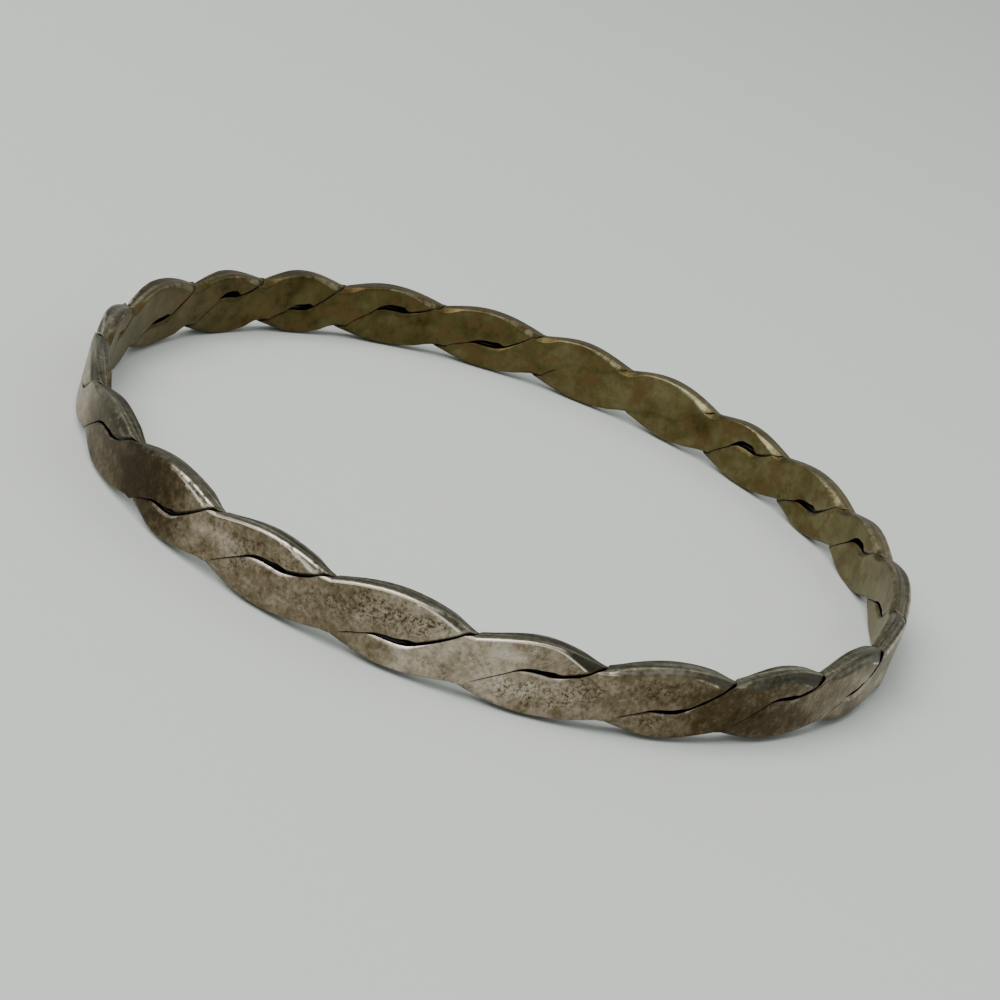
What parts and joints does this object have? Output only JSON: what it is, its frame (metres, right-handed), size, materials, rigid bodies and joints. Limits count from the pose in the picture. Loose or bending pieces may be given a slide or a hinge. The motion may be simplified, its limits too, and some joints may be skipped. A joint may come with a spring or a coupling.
{
  "type": "flattened twisted-wire bangle",
  "caption": "Narrow rigid bangle of round wires twisted together, rolled flat and soldered into a closed ring that slips over the hand.",
  "frame": {"origin": "centre of the ring, level with the lowest points that it rests on", "axes": "+Z along the ring's axis, up from the surface it lies on; -Y towards the front of the bangle"},
  "size_m": [0.068, 0.068, 0.0059],
  "materials": {
    "wire": "tarnished silver, satin, dark in the seams and worn bright on the edges",
    "solder": "tarnished silver solder, satin, smooth and slightly lumpy"
  },
  "bodies": {
    "root": {"strand_a": "wire", "strand_b": "wire", "solder_joint": "solder"}
  },
  "joints": []
}
